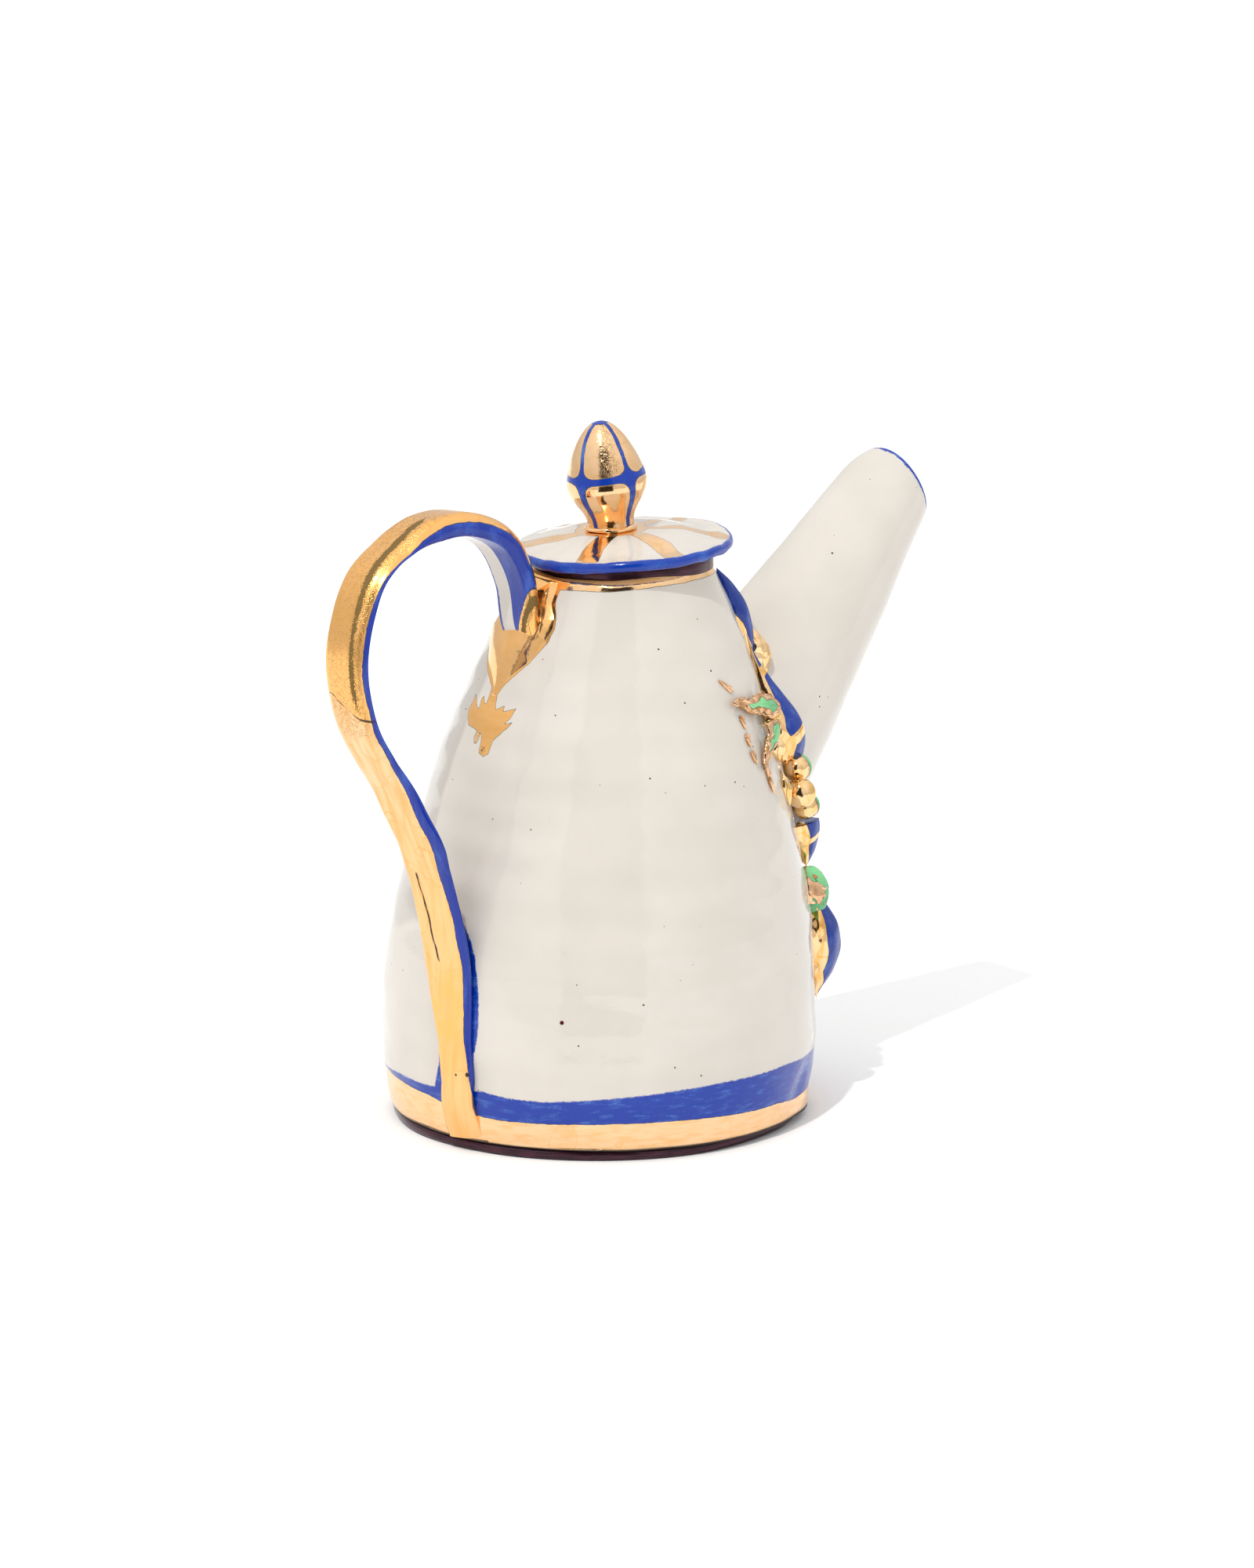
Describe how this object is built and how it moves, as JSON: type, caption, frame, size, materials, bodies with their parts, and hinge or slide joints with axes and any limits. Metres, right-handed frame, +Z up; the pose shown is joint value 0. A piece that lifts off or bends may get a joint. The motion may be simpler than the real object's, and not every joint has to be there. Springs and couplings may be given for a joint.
{
  "type": "lidded ceramic pot",
  "caption": "Leaning conical lidded ceramic pot with a tall cone spout, a strap handle, a lift-off lid with a bud knob and an applied relief branch.",
  "frame": {"origin": "centre of the foot, on the surface that the pot stands on", "axes": "+Z up, +X toward the spout, -X toward the handle, the relief branch lies on the -Y side of the spout"},
  "size_m": [0.2474, 0.147, 0.2373],
  "materials": {
    "white_glaze": "gloss off-white glaze with fine iron specks",
    "cobalt_glaze": "brushed cobalt blue under gloss glaze",
    "gold_lustre": "fired bright gold lustre, worn in places",
    "green_glaze": "pale green gloss glaze",
    "plum_lustre": "thin dark plum lustre on the foot edge"
  },
  "bodies": {
    "pot": {"base_slab": "plum_lustre", "body_wall": "white_glaze", "neck_ring": "plum_lustre", "spout": "white_glaze", "handle_strap": "gold_lustre", "handle_pad": "gold_lustre", "long_leaf": "cobalt_glaze", "far_bract": "gold_lustre", "upper_petal": "cobalt_glaze", "leaflet_high": "green_glaze", "leaflet_low": "green_glaze", "leaf_tail": "gold_lustre", "tendril": "gold_lustre", "clay_flecks": "gold_lustre", "hood": "gold_lustre", "sepal": "gold_lustre", "berry_high": "gold_lustre", "berry_middle": "gold_lustre", "berry_low": "gold_lustre", "berry_caps": "green_glaze", "stem": "gold_lustre", "lower_petal": "cobalt_glaze", "cup_leaf": "green_glaze", "pod": "cobalt_glaze"},
    "lid": {"lid_plate": "white_glaze", "lid_flange": "white_glaze", "knob_collar": "gold_lustre", "knob": "gold_lustre"}
  },
  "joints": [
    {"name": "lid_lift", "type": "slide", "parent": "pot", "child": "lid", "axis": [-0.0244, 0.0157, 0.9996], "range_m": [0, 0.04]}
  ]
}
